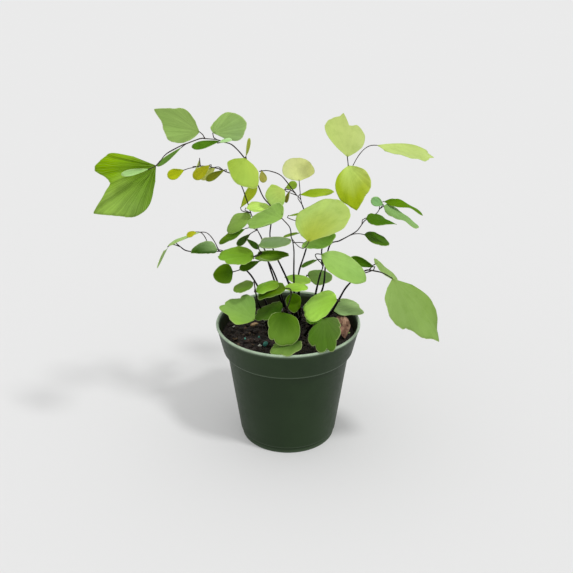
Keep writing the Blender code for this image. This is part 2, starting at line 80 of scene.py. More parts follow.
class Nodes:
    """Short calls that add and link shader nodes of one material."""

    def __init__(self, name):
        self.material = bpy.data.materials.new(name)
        self.material.use_nodes = True
        self.tree = self.material.node_tree
        self.shader = self.tree.nodes["Principled BSDF"]

    def add(self, kind, settings=None, **inputs):
        node = self.tree.nodes.new(kind)
        for key, value in (settings or {}).items():
            setattr(node, key, value)
        for key, value in inputs.items():
            self.put(node, key, value)
        return node

    def put(self, node, socket, value):
        target = node.inputs[socket]
        if isinstance(value, bpy.types.NodeSocket):
            self.tree.links.new(value, target)
        else:
            target.default_value = value

    def math(self, operation, first, second=0, clamp=False):
        node = self.add("ShaderNodeMath", {"operation": operation, "use_clamp": clamp})
        self.put(node, 0, first)
        self.put(node, 1, second)
        return node.outputs[0]

    def plus(self, first, second):
        return self.math("ADD", first, second)

    def times(self, first, second):
        return self.math("MULTIPLY", first, second)

    def mix(self, factor, first, second, blend="MIX"):
        """Two colours mixed. Each is a socket or 0..255 screen values."""
        node = self.add("ShaderNodeMix", {"data_type": "RGBA", "blend_type": blend})
        self.put(node, 0, factor)
        for socket, colour in ((6, first), (7, second)):
            self.put(node, socket, srgb(*colour) if isinstance(colour, tuple) else colour)
        return node.outputs[2]

    def coated(self, colour, *coats):
        """A colour under coats of others, each given as (how much of it shows, colour)."""
        for shows, coat in coats:
            colour = self.mix(shows, colour, coat)
        return colour

    def span(self, value, low, high, to_low=0, to_high=1):
        """A value carried over smoothly from one range to another."""
        node = self.add("ShaderNodeMapRange", {"interpolation_type": "SMOOTHSTEP"})
        for socket, number in enumerate((value, low, high, to_low, to_high)):
            self.put(node, socket, number)
        return node.outputs[0]

    def noise(self, scale, detail=3, roughness=0.55, vector=None, distortion=0):
        at = self.add("ShaderNodeTexCoord").outputs["Object"] if vector is None else vector
        return self.add("ShaderNodeTexNoise", Scale=scale, Detail=detail, Roughness=roughness,
                        Distortion=distortion, Vector=at).outputs[0]

    def vector(self, x, y, z=0):
        return self.add("ShaderNodeCombineXYZ", X=x, Y=y, Z=z).outputs[0]

    def attribute(self, name, output="Fac"):
        """What `give` has stored on the mesh under a name."""
        return self.add("ShaderNodeAttribute", {"attribute_name": name}).outputs[output]

    def parts(self, name):
        """The three numbers of a vector stored on the mesh."""
        return self.add("ShaderNodeSeparateXYZ", Vector=self.attribute(name, "Vector")).outputs

    def finish(self, colour, roughness, bump=None, **others):
        """Fill in the shader. A bump is (height, millimetres, strength). Other names have _ for a space."""
        others.update(Base_Color=colour, Roughness=roughness)
        if bump:
            height, depth, strength = bump
            made = self.add("ShaderNodeBump", Height=height, Distance=depth * MM, Strength=strength)
            others["Normal"] = made.outputs[0]
        for key, value in others.items():
            self.put(self.shader, key.replace("_", " "), value)
        return self.material


SHEEN = {"Specular_IOR_Level": 0.03, "Specular_Tint": (0.9, 1.0, 0.1, 1.0)}   # the faint shine of a leaf


def leaf_material(name, under):
    """Blade of a leaflet. Attribute `tint` is its colour with painted light and shade, `fan` is (angle,
    millimetres out, share out).
    """
    vein_shows, vein_rises, rough = (0.5, 0.9, (0.6, 0.75)) if under else (0.25, -0.5, (0.42, 0.58))
    n = Nodes(name)
    tint, veined = n.attribute("tint", "Color"), n.attribute("veined")
    angle, out, share = n.parts("fan")
    swayed = n.plus(angle, n.times(n.math("SUBTRACT", n.noise(90, 2), 0.5), 0.10))

    def veins(count, start, width):
        """Lines that fan from the base, `count` to a radian, from `start` millimetres out."""
        wave = n.math("ABSOLUTE", n.math("SINE", n.times(swayed, count * pi)))
        thin = n.math("DIVIDE", width * count * pi, n.math("MAXIMUM", out, 1))
        line = n.math("SUBTRACT", 1, n.math("DIVIDE", wave, thin), clamp=True)
        return n.times(line, n.span(out, start, start + 4))

    def drawn_out(across, outwards, scale, roughness):
        """Noise that runs along the veins."""
        at = n.vector(n.times(swayed, across), n.times(share, outwards))
        return n.noise(scale, 2, roughness, vector=at)

    def shaded(colour, value, low, high):
        """Colour times a grey that runs from `low` to `high` with a value around one half."""
        grey = n.span(value, 0.3, 0.7, low, high)
        return n.mix(1, colour, n.vector(grey, grey, grey), "MULTIPLY")

    vein = n.math("MAXIMUM", veins(7, 0, 0.20), veins(14, 5, 0.17))
    vein = n.math("MAXIMUM", vein, veins(28, 14, 0.15))
    mottle, fine = n.noise(190, 3, 0.6), n.noise(900, 4, 0.65)
    # The first noise here paints the light and shade of broad folds along the veins; the second is fine tone
    fold_shade, streak = drawn_out(3.2, 0.35, 1.6, 0.5), drawn_out(24, 1.2, 1.5, 0.6)
    inward = n.math("SUBTRACT", n.math("DIVIDE", out, n.math("MAXIMUM", share, 0.05)), out)
    colour = shaded(tint, n.noise(38, 2), 0.93, 1.06)
    colour = n.coated(
        colour,
        # painted light and shade of folds, and fine streaks
        (veined, shaded(shaded(colour, fold_shade, 0.80, 1.16), streak, 0.88, 1.10)),
        (n.span(mottle, 0.45, 0.75, 0, 0.14), (80, 120, 0)),
        (n.times(n.times(vein, veined), vein_shows), (190, 215, 120)),
        (n.span(fine, 0.5, 0.8, 0, 0.10), (60, 95, 5)),
        # a pale line along the margin: a painted rim highlight
        (n.span(inward, 0, 0.8, 0.65, 0), n.mix(0.5, tint, (225, 240, 165))),
        (n.span(share, 0, 0.10, 0.30, 0), (90, 90, 30)),
    )
    if under:
        colour = n.mix(0.38, colour, (150, 182, 118))
    ribbed = n.plus(n.times(vein, vein_rises), n.times(streak, 1.2))
    height = n.plus(n.times(ribbed, veined), n.times(fine, 0.4))
    return n.finish(colour, n.span(mottle, 0.3, 0.8, *rough), (height, 0.10, 0.8), **SHEEN)


def edge_material():
    """The thin pale side of a leaflet."""
    n = Nodes("leaf_edge")
    colour = n.mix(n.span(n.noise(300), 0.3, 0.7, 0.25, 0.5), n.attribute("tint", "Color"), (205, 225, 150))
    return n.finish(colour, n.span(n.noise(900), 0.3, 0.7, 0.5, 0.7), **SHEEN)


def dead_material():
    """Dry brown blade with ribs and a darker margin."""
    n = Nodes("dead_leaf")
    angle, _, share = n.parts("fan")
    broad, fine = n.noise(160, 4, 0.6), n.noise(900, 4, 0.7)
    ribs = n.math("SINE", n.times(angle, 80))
    colour = n.coated(
        (216, 174, 148),
        (n.span(broad, 0.35, 0.65), (140, 100, 82)),
        (n.span(n.noise(260, 3), 0.56, 0.7), (70, 48, 40)),
        (n.span(ribs, -1, 1, 0, 0.25), (105, 70, 52)),
        (n.span(share, 0.9, 1, 0, 0.6), (84, 58, 46)),
    )
    return n.finish(colour, n.span(fine, 0.3, 0.7, 0.7, 0.95), (n.plus(n.times(ribs, 0.5), fine), 0.25, 0.9))


def stem_material():
    """Wiry stem: black-brown with a faint gloss, browner and duller towards the tips."""
    n = Nodes("stem_wire")
    broad, fine = n.noise(120, 3), n.noise(1500, 3, 0.6)
    colour = n.coated(
        (9, 6, 5),
        (n.span(n.attribute("along"), 0.2, 1), (48, 36, 30)),
        (n.span(broad, 0.55, 0.75, 0, 0.35), (44, 27, 17)),
        (n.span(fine, 0.62, 0.8, 0, 0.22), (84, 68, 56)),
    )
    return n.finish(colour, n.span(fine, 0.3, 0.7, 0.22, 0.42), (fine, 0.05, 0.6), Specular_IOR_Level=0.16)


def pot_material():
    """Thin moulded plastic: dark green, satin, with a fine grain, scuffs, pale edges that are wear and a
    painted highlight on the lip and ledge, and a soiled inside.
    """
    n = Nodes("pot_plastic")
    broad, grain = n.noise(22, 4, 0.6), n.noise(2600, 2, 0.5)
    scuff = n.noise(240, 5, 0.7, distortion=1.2)
    colour = n.coated(
        (26, 44, 19),
        (n.span(broad, 0.3, 0.7), (32, 51, 24)),
        (n.span(scuff, 0.62, 0.85, 0, 0.22), (80, 96, 72)),
        # pale lip and edge lines: partly wear, partly a painted highlight
        (n.times(n.attribute("worn_and_lit"), n.span(scuff, 0.2, 0.8, 0.62, 0.95)), (178, 198, 172)),
        (n.times(n.attribute("soiled"), n.span(scuff, 0.35, 0.6, 0.25, 0.9)), (40, 35, 24)),
    )
    height = n.plus(n.times(grain, 0.5), n.times(scuff, 0.5))
    return n.finish(colour, n.span(scuff, 0.2, 0.8, 0.38, 0.52), (height, 0.04, 0.5), Specular_IOR_Level=0.2)


def soil_material(name, dark, mid, light, speck):
    """Damp potting mix: three browns mixed by noise, and pale fibres that show as plainly as `speck` says."""
    n = Nodes(name)
    broad, fine = n.noise(130, 4, 0.65), n.noise(1100, 5, 0.7)
    fibre = n.noise(420, 2, 0.4, distortion=3)
    colour = n.coated(
        dark,
        (n.span(broad, 0.35, 0.65), mid),
        (n.span(fine, 0.55, 0.75, 0, 0.8), light),
        (n.span(fibre, 0.66, 0.72, 0, speck), (122, 92, 62)),
    )
    return n.finish(colour, n.span(fine, 0.3, 0.8, 0.72, 0.98), (n.plus(fine, broad), 0.5, 0.9))


def speckled_material(name, first, second, third, low, high):
    """Small matter on the soil: three colours mixed by noise, and a roughness between `low` and `high`."""
    n = Nodes(name)
    fine, streak = n.noise(1400, 4, 0.65), n.noise(500, 3, 0.6, distortion=1.5)
    colour = n.coated(first, (n.span(streak, 0.35, 0.65), second), (n.span(fine, 0.5, 0.75, 0, 0.7), third))
    return n.finish(colour, n.span(fine, 0.3, 0.7, low, high), (n.plus(fine, streak), 0.15, 0.8))


LEAF = [leaf_material("leaf_upper", False), leaf_material("leaf_under", True), edge_material()]
DEAD = [dead_material()]
STEM = [stem_material()]
POT = [pot_material()]
SOIL = [soil_material("soil_mix", (22, 17, 14), (44, 33, 27), (72, 56, 44), 0.7)]
CRUMB = [soil_material("soil_crumb", (26, 20, 17), (52, 38, 30), (88, 68, 52), 0.4)]
BARK = [speckled_material("bark", (78, 60, 46), (112, 90, 68), (48, 36, 28), 0.8, 0.98)]
CHIP = [speckled_material("wood", (206, 172, 128), (178, 140, 98), (140, 104, 70), 0.6, 0.9)]
PRILL = [speckled_material("prill", (60, 150, 130), (40, 118, 108), (140, 200, 180), 0.3, 0.5)]
PERLITE = [speckled_material("perlite", (205, 205, 196), (176, 176, 164), (230, 230, 222), 0.7, 0.9)]


# ------ pieces

def shown(name, data):
    """A new object in the scene."""
    result = bpy.data.objects.new(name, data)
    bpy.context.scene.collection.objects.link(result)
    return result


def piece(name, mesh, materials, slot, *nodes):
    """A new object that rides on the root body and stands for the named CAD nodes."""
    result = shown(name, mesh)
    for item in materials:
        mesh.materials.append(item)
    mesh.shade_smooth()
    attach(result, "root")
    if nodes:
        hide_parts(*nodes)
    return result


def mesh_from(name, points, faces):
    mesh = bpy.data.meshes.new(name)
    mesh.from_pydata([tuple(p) for p in points], [], faces)
    mesh.update()
    return mesh


def give(mesh, name, kind, values):
    """Store one value per point for the materials."""
    layer = mesh.attributes.new(name, kind, "POINT")
    field = {"FLOAT": "value", "FLOAT_VECTOR": "vector", "FLOAT_COLOR": "color"}[kind]
    layer.data.foreach_set(field, np.asarray(values, np.float32).ravel())


def welded(node):
    """A node's mesh with points at one place made one."""
    cage = bmesh.new()
    cage.from_mesh(frame["nodes"][node].data)
    bmesh.ops.remove_doubles(cage, verts=cage.verts, dist=WELD)
    cage.normal_update()
    for table in (cage.verts, cage.edges, cage.faces):
        table.ensure_lookup_table()
        table.index_update()
    return cage


def flood(start, near):
    """All that is reached from a start by steps, where `near` lists what is one step away."""
    found, stack = {start}, [start]
    while stack:
        for other in near(stack.pop()):
            if other not in found:
                found.add(other)
                stack.append(other)
    return found


def ring(count):
    """Each number below `count`, paired with the one after it round a circle."""
    return [(k, (k + 1) % count) for k in range(count)]


def on_circle(radius, turn):
    """X and Y of a point at a radius and a turn about the Z axis."""
    return radius * cos(turn), radius * sin(turn)


# ------ leaflets

class Fan:
    """A fan-shaped sheet: its frame at the base, its outline by angle, and its bend."""

    def __init__(self, apex, rim, inner, normal):
        self.apex = np.array(apex)
        rim, inner = np.array(rim) - self.apex, np.array(inner).reshape(-1, 3) - self.apex
        self.n = np.array(normal) / norm(normal)
        middle = rim.mean(0)
        self.turn(middle - self.n * (middle @ self.n))
        theta, reach = self.polar(rim)
        far = reach > 0.2 * reach.max()
        tilt = (theta[far].min() + theta[far].max()) / 2
        self.turn(self.y * cos(tilt) + self.x * sin(tilt))
        theta, reach = self.polar(rim)
        self.long = reach.max()
        keep = far.copy()
        # Only the outermost point of each straight side belongs to the outline
        for end in (theta[far].min(), theta[far].max()):
            near = far & (np.abs(theta - end) < radians(2))
            keep &= ~(near & (reach < reach[near].max() * 0.995))
        order = np.argsort(theta[keep])
        self.theta, self.reach = theta[keep][order], reach[keep][order]
        every = np.vstack([rim, inner])
        x, y, z = every @ self.x / self.long, every @ self.y / self.long, every @ self.n / self.long
        terms = np.stack([x, y, x * x, y * y, x * y], 1)
        self.bend = np.linalg.lstsq(terms, z, rcond=None)[0]
        self.slopes = self._slopes()

    def turn(self, forward):
        self.y = forward / norm(forward)
        self.x = np.cross(self.y, self.n)

    def polar(self, points):
        x, y = points @ self.x, points @ self.y
        return np.arctan2(x, y), np.hypot(x, y)

    def _slopes(self):
        """Slopes of the outline before and after each point. They differ at sharp tips and notches."""
        step = np.diff(self.reach) / np.maximum(np.diff(self.theta), 1e-6)
        before, after = np.append(step[:1], step), np.append(step, step[-1:])
        mean = (before + after) / 2
        turning = before * after <= 0
        sharp = turning & (np.abs(before - after) > SHARP * self.reach)
        mean = np.where(turning, mean / 2, mean)
        return np.where(sharp, before, mean), np.where(sharp, after, mean)

    def outline(self, angle):
        """Distance from the base to the outline at an angle."""
        i = int(np.clip(np.searchsorted(self.theta, angle) - 1, 0, len(self.theta) - 2))
        width = max(self.theta[i + 1] - self.theta[i], 1e-6)
        t = min(max((angle - self.theta[i]) / width, 0.0), 1.0)
        a, b = self.reach[i], self.reach[i + 1]
        ma, mb = self.slopes[1][i] * width, self.slopes[0][i + 1] * width
        return (a * (2 * t ** 3 - 3 * t ** 2 + 1) + ma * (t ** 3 - 2 * t ** 2 + t)
                + b * (3 * t ** 2 - 2 * t ** 3) + mb * (t ** 3 - t ** 2))

    def height(self, x, y):
        """How far the sheet bends out of its plane at a point."""
        x, y = x / self.long, y / self.long
        return self.long * (self.bend @ np.array([x, y, x * x, y * y, x * y]))


def sheet_fan(node):
    """The fan that a leaflet's CAD node holds, halfway through its thickness."""
    cage = welded(node)

    def level(face):
        """The faces beside one that point much the same way."""
        return [f for edge in face.edges for f in edge.link_faces if face.normal.dot(f.normal) > 0.5]

    first = flood(max(cage.faces, key=lambda f: f.calc_area()), level)
    second = flood(max((f for f in cage.faces if f not in first), key=lambda f: f.calc_area()), level)
    pointing = [sum((f.normal * f.calc_area() for f in cage.faces if f in side), Vector())
                for side in (first, second)]
    if pointing[0].z < pointing[1].z:
        first, second, pointing = second, first, pointing[::-1]
    upper = {v for f in first for v in f.verts}
    lower = np.array([v.co for v in {v for f in second for v in f.verts}])
    valence = {v: sum(f in first for f in v.link_faces) for v in upper}
    border = {v for v in upper if any(f not in first for f in v.link_faces)}

    def middle(vertex):
        here = np.array(vertex.co)
        return (here + lower[np.argmin(((lower - here) ** 2).sum(1))]) / 2

    def middles(vertices):
        return [middle(v) for v in sorted(vertices, key=lambda v: v.index)]

    top = max(border, key=lambda v: (valence[v], v.index))
    fan = Fan(middle(top), middles(border - {top}), middles(upper - border), pointing[0])
    cage.free()
    return fan


def oval(fan, half):
    """Make a fan's outline a pointed oval of its own length that opens `half` degrees to each side."""
    fan.theta = np.linspace(-radians(half), radians(half), 15)
    fan.reach = fan.long * (0.10 + 0.90 * np.cos(np.linspace(-1.5, 1.5, 15)) ** 0.5)
    fan.slopes = fan._slopes()
    return fan


def set_anew(fan, lift=0, roll=0, size=1.0, back=0.0):
    """Lift a fan's tip and roll it, in degrees, then resize it and draw it back."""
    for first, second, angle in (("y", "n", lift), ("x", "n", roll)):
        a, b = getattr(fan, first), getattr(fan, second)
        c, s = cos(radians(angle)), sin(radians(angle))
        setattr(fan, first, a * c + b * s)
        setattr(fan, second, b * c - a * s)
    fan.long *= size
    fan.reach = fan.reach * size
    fan.slopes = fan._slopes()
    fan.apex = fan.apex - fan.y * fan.long * back
    return fan


def build_leaflet(name, fan, tints, slot, seed, node=None, lobes=(0, 0.0, 0, 1), curl=0.0, crease=(0, 0.0),
                  pinches=(), twist=0, wave=1.0, veined=0.4, materials=LEAF):
    """A fine two-sided fan on the CAD sheet, with rounded corners, lobes, pleats and a waved margin.

    The tints are its colours, painted light and shade among them, at the base and, evenly spaced, from the
    left margin to the right.
    The tables below say what the other arguments are.
    """
    low, high = fan.theta[0], fan.theta[-1]
    spread, long = high - low, fan.long
    columns = int(np.clip(spread * long / MARGIN_STEP, 26, 110))
    rings = int(np.clip(long / OUTWARD_STEP, 5, 16))
    count, depth, first_lobe, last_lobe = lobes
    crease_at, rise = low + spread * crease[0], crease[1]
    heart, across = np.array(tints[0]), np.array(tints[1:])
    stops = np.linspace(0, 1, len(across))

    def drift(along, layer):
        """Smooth noise between -1 and 1 along the margin."""
        return noise.noise(Vector((along, seed, layer)))

    def margin(u, angle):
        """Distance from the base to the margin, a share `u` of the way across."""
        corner = exp(-(u / CORNER) ** 2) + exp(-((1 - u) / CORNER) ** 2)
        reach = fan.outline(angle) * (1 - 0.30 * corner)
        if count:
            where = u + 0.03 * drift(u * 9, 5.5)
            inside = min(1.0, max(0.0, (u - first_lobe) / 0.06)) * min(1.0, max(0.0, (last_lobe - u) / 0.06))
            reach *= 1 + depth * inside * (abs(cos(pi * count * where)) ** 0.6 - 0.7)
        return reach * (1 + 0.010 * drift(u * spread * 14, 0.3) + 0.006 * drift(u * spread * 45, 7.1))

    points, fans, colours = [fan.apex], [(0.0, 0.0, 0.0)], [heart]
    for j in range(columns + 1):
        u = j / columns
        angle = low + spread * u
        reach = margin(u, angle)
        swing, flutter = drift(u * spread * 1.6, 3.7), drift(u * spread * 4.5, 11.9)
        pleat = sin(angle * 26 + 2.0 * swing) + 0.5 * sin(angle * 58 + seed)
        for i in range(1, rings + 1):
            share = (i / rings) ** 0.92
            out = reach * share
            x, y = out * sin(angle), out * cos(angle)
            for centre, narrowing, stretch in pinches:
                x *= 1 - narrowing * exp(-((y / long - centre) / stretch) ** 2)
            z = fan.height(x, y) + curl * long * share ** 4 + rise * out * abs(angle - crease_at)
            z += wave * long * (0.045 * swing * share ** 2 + 0.030 * flutter * share ** 4)
            z += 0.008 * veined * long * pleat * sin(pi * min(share, 0.8) / 1.25)
            blend = u + 0.12 * noise.noise(Vector((x, y, seed * MM)) * 90)
            turned = radians(twist) * y / long
            x, z = x * cos(turned) - z * sin(turned), z * cos(turned) + x * sin(turned)
            points.append(fan.apex + fan.x * x + fan.y * y + fan.n * z)
            fans.append((angle, out / MM, share))
            outward = np.array([np.interp(blend, stops, across[:, c]) for c in range(4)])
            colours.append(tuple(heart + (outward - heart) * min(1.0, 1.3 * share) ** 1.5))
    faces = []
    for j in range(columns):
        a, b = 1 + j * rings, 1 + (j + 1) * rings
        faces.append((0, b, a))
        faces += [(a + i, b + i, b + i + 1, a + i + 1) for i in range(rings - 1)]
    mesh = mesh_from(name, points, faces)
    give(mesh, "fan", "FLOAT_VECTOR", fans)
    give(mesh, "tint", "FLOAT_COLOR", colours)
    give(mesh, "veined", "FLOAT", [veined] * len(points))
    sheet = piece(name, mesh, materials, slot, *([node] if node else []))
    thick = sheet.modifiers.new("thickness", "SOLIDIFY")
    thick.thickness = BLADE
    thick.offset = 0.0
    if len(materials) > 1:
        thick.material_offset = 1
        thick.material_offset_rim = 2


# Colours of each frond's leaflets: at the base (None is the mean of the others), then evenly spaced from
# the left margin to the right one seen from above. Besides the leaflets' own greens these hold painted
# light and shade: darker tints where a leaflet or half of one lies in shade, lighter ones on leaflets
# that lie under others, and grey-green stops that are a painted sheen
TINTS_AND_LIGHT = {
    "arch_left": [
        ((85, 125, 0), (95, 135, 25), (120, 155, 65), (145, 180, 75), (120, 160, 0), (125, 160, 0)),
        (None, (135, 165, 90), (125, 155, 80), (125, 150, 80)),
        (None, (135, 165, 90), (135, 165, 90), (130, 160, 100)),
        (None, (165, 185, 80), (155, 185, 75), (150, 175, 60)),
    ],
    "sprig_left": [
        (None, (165, 190, 90), (195, 230, 110), (185, 225, 105)),
        ((135, 170, 75), (115, 150, 60), (125, 155, 75), (145, 185, 80)),
        ((105, 160, 25), (75, 110, 20), (60, 95, 0), (115, 150, 20)),
    ],
    "middle": [
        ((110, 140, 85), (125, 145, 110), (125, 150, 100), (115, 145, 90)),
        ((155, 205, 55), (45, 80, 0), (70, 105, 0), (100, 135, 25)),
        ((100, 140, 30), (120, 160, 50), (115, 160, 45), (110, 145, 30)),
        (None, (205, 250, 100), (195, 250, 90), (155, 205, 60)),
    ],
    "centre": [
        (None, (135, 175, 75), (135, 170, 85), (145, 185, 85)),
        ((160, 175, 60), (170, 200, 100), (175, 200, 105), (165, 185, 95)),
        ((160, 200, 100), (90, 130, 0), (150, 200, 90), (195, 245, 130)),
    ],
    "back": [
        (None, (195, 205, 140), (195, 200, 130), (235, 240, 145)),
        ((180, 200, 100), (155, 190, 95), (165, 195, 100), (165, 190, 80)),
        ((130, 160, 0), (120, 145, 0), (150, 175, 45), (155, 180, 30)),
    ],
    "back_low": [
        (None, (105, 135, 65), (95, 125, 65), (100, 130, 60)),
        ((175, 230, 95), (155, 200, 80), (155, 200, 80), (205, 250, 105)),
    ],
    "right_high": [
        (None, (175, 195, 105), (175, 190, 110), (175, 190, 115)),
        (None, (170, 190, 100), (180, 200, 115), (185, 205, 120)),
        ((200, 225, 115), (195, 210, 110), (170, 190, 30), (165, 190, 40)),
        (None, (155, 185, 105), (145, 185, 95), (150, 190, 90)),
    ],
    "right_mid": [
        (None, (140, 180, 110), (130, 170, 95), (100, 130, 75)),
        (None, (100, 150, 0), (80, 120, 0), (90, 125, 5)),
        (None, (65, 105, 0), (60, 105, 0), (65, 105, 0)),
        (None, (45, 85, 0), (60, 100, 0), (65, 105, 0)),
    ],
    "right_low": [
        (None, (120, 150, 70), (125, 155, 80), (135, 165, 90)),
        (None, (125, 155, 80), (125, 155, 75), (145, 175, 105)),
        ((135, 165, 105), (120, 145, 90), (150, 180, 115), (155, 190, 130)),
    ],
    "left_low": [
        ((135, 170, 105), (30, 80, 0), (50, 95, 0), (145, 175, 120)),
        (None, (175, 210, 115), (165, 205, 115)),
        ((55, 95, 5), (90, 130, 30), (75, 110, 0), (75, 110, 0)),
    ],
    "front_left": [
        (None, (95, 135, 40), (105, 140, 45), (130, 155, 80)),
        ((125, 175, 45), (145, 200, 65), (145, 190, 50), (150, 200, 75)),
        (None, (135, 175, 70), (125, 160, 80), (115, 155, 75)),
    ],
    "front": [
        ((45, 80, 5), (70, 105, 15), (95, 130, 45), (60, 95, 10)),
        ((35, 75, 0), (65, 105, 20), (80, 115, 35), (75, 105, 30)),
        ((100, 135, 0), (90, 130, 0), (60, 95, 0), (110, 150, 45)),
        ((20, 60, 0), (75, 100, 45), (110, 140, 65), (100, 135, 55)),
        ((60, 90, 0), (55, 85, 0), (75, 115, 0), (95, 135, 0)),
    ],
    "front_right": [
        ((155, 205, 70), (160, 210, 80), (180, 230, 95), (195, 245, 105)),
        (None, (85, 110, 55), (75, 110, 35), (70, 110, 25)),
    ],
}
# Scallops of the margin: how many to the whole fan, how deep, and the stretch of margin that has them
LOBES = {
    "front_right_2": (6, 0.16, 0.15, 0.95), "front_1": (6, 0.13, 0.4, 1.0), "front_4": (4, 0.08, 0, 1),
    "front_2": (5, 0.12, 0, 1), "front_left_3": (5, 0.10, 0.3, 1.0), "middle_3": (6, 0.06, 0, 1),
    "middle_2": (6, 0.08, 0, 1), "centre_1": (4, 0.04, 0, 1), "front_right_1": (3, 0.05, 0.2, 0.8),
}
# How far the margin curls up
CURLS = {
    "middle_2": 0.12, "middle_1": 0.10, "centre_1": 0.08, "front_3": 0.05, "front_left_1": 0.05,
}
# A fold along one vein: where across the fan, and how steeply both sides rise from it
CREASES = {
    "front_left_3": (0.55, 0.25), "right_high_3": (0.5, 0.1), "right_mid_4": (0.4, 0.08),
    "left_low_1": (0.5, 0.3), "centre_3": (0.5, 0.2), "front_1": (0.5, 0.12),
}
# Narrow places: where along the leaflet, how much narrower, and how long a stretch
PINCHES = {
    "right_mid_1": [(0.58, 0.4, 0.15)], "right_mid_2": [(0.65, 0.55, 0.2)], "right_mid_3": [(1.0, 0.7, 0.28)],
}
# How far the tip is twisted about the leaflet's middle, in degrees
TWISTS = {"right_mid_1": 25, "right_low_2": 20, "sprig_left_2": 15}
# What set_anew does to a leaflet whose CAD sheet is plainer than the real one
SET = {
    "back_low_2": {"roll": -15, "size": 1.15, "back": 0.28}, "front_4": {"lift": -6, "size": 1.08},
    "right_low_2": {"size": 1.3, "back": 0.12}, "right_mid_1": {"size": 1.05}, "right_mid_3": {"size": 1.1},
    "front_1": {"size": 1.05}, "front_right_2": {"size": 1.06},
}
# How plainly a leaflet shows its veins, its pleats and its painted fold shade, where that isn't usual
VEINED = {
    "arch_left_1": 1.0, "arch_left_2": 0.5, "arch_left_3": 0.5, "right_low_3": 0.4, "front_right_2": 0.3,
    "front_1": 0.2, "front_left_3": 0.2, "back_1": 0.15, "right_high_1": 0.15, "right_high_2": 0.15,
    "right_high_3": 0.15, "centre_2": 0.15, "right_high_4": 0.15, "front_right_1": 0.15, "arch_left_4": 0.15,
    "right_low_1": 0.15,
}
SHAPED = {
    "lobes": LOBES, "curl": CURLS, "crease": CREASES, "pinches": PINCHES, "twist": TWISTS, "veined": VEINED,
}
SLOTS = {item["node"]: item["material_slot"] for item in frame["record"]["subparts"]}


def build_leaves():
    rows = {f"{frond}_{i + 1}": row for frond, rows in TINTS_AND_LIGHT.items() for i, row in enumerate(rows)}
    for index, (key, (base, *tints)) in enumerate(sorted(rows.items())):
        node = f"leaf_{key}"
        across = [np.array(srgb(*tint)) for tint in tints]
        heart = np.array(srgb(*base)) if base else sum(across) / len(across)
        fan = set_anew(sheet_fan(node), **SET.get(key, {}))
        shape = {"veined": 0.25, **{option: table[key] for option, table in SHAPED.items() if key in table}}
        build_leaflet(f"leaflet_{key}", fan, [heart, *across], SLOTS[node], seed=1.7 * index + 0.9, node=node,
                      **shape)
    fan = set_anew(sheet_fan("dead_leaflet"), size=0.85)
    build_leaflet("dead_leaf", fan, [srgb(180, 140, 110)] * 3, SLOTS["dead_leaflet"], seed=77.0,
                  node="dead_leaflet", lobes=(4, 0.10, 0, 1), crease=(0.45, 0.4), wave=3.5, materials=DEAD)


# ------ stems

def find(parents, item):
    """The item that stands for a whole group, where each item names another of its group."""
    while parents[item] != item:
        item = parents[item]
    return item


def rings_of(cage):
    """A CAD stem's points in rings: the points of each, their centre, and how often two rings are linked."""
    group = list(range(len(cage.verts)))
    for edge in cage.edges:
        if edge.calc_length() < RING_SIDE:
            a, b = (find(group, v.index) for v in edge.verts)
            group[max(a, b)] = min(a, b)
    members = {}
    for vertex in cage.verts:
        members.setdefault(find(group, vertex.index), []).append(np.array(vertex.co))
    links = {key: Counter() for key in members}
    for edge in cage.edges:
        a, b = (find(group, v.index) for v in edge.verts)
        if a != b:
            links[a][b] += 1
            links[b][a] += 1
    return members, {key: np.mean(points, 0) for key, points in members.items()}, links


def grown_fans(members, place, links, small):
    """The fans of the leaflets that grow on a CAD stem. Their points lie in groups too small for a tube."""
    fans, left = [], set(small)
    while left:
        cluster = flood(min(left), lambda key: [other for other in links[key] if other in small])
        left -= cluster
        cluster = sorted(cluster)
        votes = Counter()
        for key in cluster:
            votes.update({other: times for other, times in links[key].items() if other not in small})
        rim = [place[key] for key in cluster if len(members[key]) >= 2]
        if len(rim) < 5 or not votes:
            continue
        apex = place[max(votes, key=votes.get)]
        inner = [place[key] for key in cluster if len(members[key]) == 1]
        normal = np.linalg.svd(np.array(rim) - apex)[2][2]
        fans.append(Fan(apex, rim, inner, normal if normal[2] > 0 else -normal))
    return fans


def skeleton(node):
    """A CAD stem's tubes as a tree of points and radii, and the fans of the leaflets that grow on it."""
    cage = welded(node)
    members, place, links = rings_of(cage)
    cage.free()
    small = {key for key, points in members.items() if len(points) <= TUBE_SIDES / 2}
    rings = sorted(set(members) - small)
    found = sorted((float(norm(place[a] - place[b])), a, b)
                   for a in rings for b in links[a] if a < b and b not in small)
    tree, joined = {key: set() for key in rings}, {key: key for key in rings}
    for _, a, b in found:
        if find(joined, a) != find(joined, b):
            joined[find(joined, a)] = find(joined, b)
            tree[a].add(b)
            tree[b].add(a)
    radius = {}
    for key in rings:
        away = norm(np.array(members[key]) - place[key], axis=1)
        radius[key] = float(away.mean()) if len(away) == TUBE_SIDES else None
    return place, tree, radius, grown_fans(members, place, links, small)


